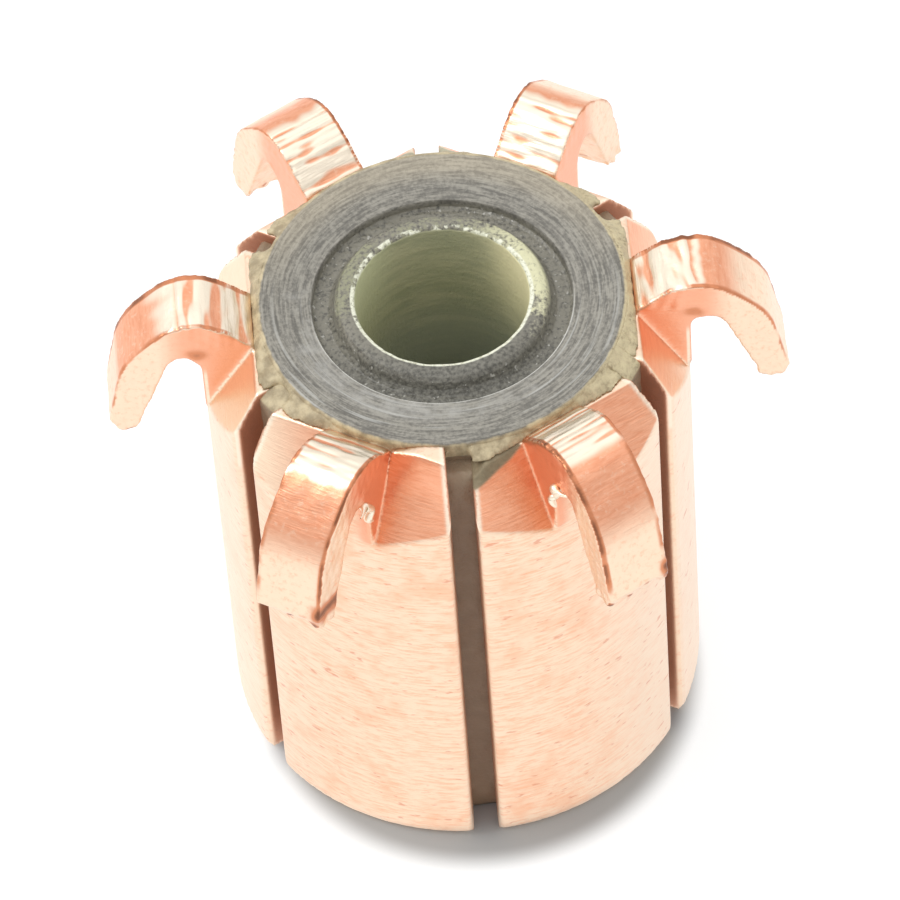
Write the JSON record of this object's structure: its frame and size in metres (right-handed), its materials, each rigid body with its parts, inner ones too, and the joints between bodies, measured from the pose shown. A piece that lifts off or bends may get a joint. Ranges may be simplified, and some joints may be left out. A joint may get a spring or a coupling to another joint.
{
  "type": "commutator",
  "caption": "Hook-type moulded commutator: copper bars with bent wire hooks round a resin hub with a press-fit shaft bore, for a small DC or universal motor.",
  "frame": {"origin": "centre of the shaft axis on the plain end that the commutator stands on", "axes": "+Z along the shaft axis towards the hooks, -Y towards the slot between bar_5 and bar_6"},
  "size_m": [0.0196, 0.018, 0.0173],
  "materials": {
    "resin": "turned glass-filled resin",
    "copper": "turned bare copper"
  },
  "bodies": {
    "root": {"moulding": "resin", "bar_1": "copper", "bar_2": "copper", "bar_3": "copper", "bar_4": "copper", "bar_5": "copper", "bar_6": "copper"}
  },
  "joints": []
}
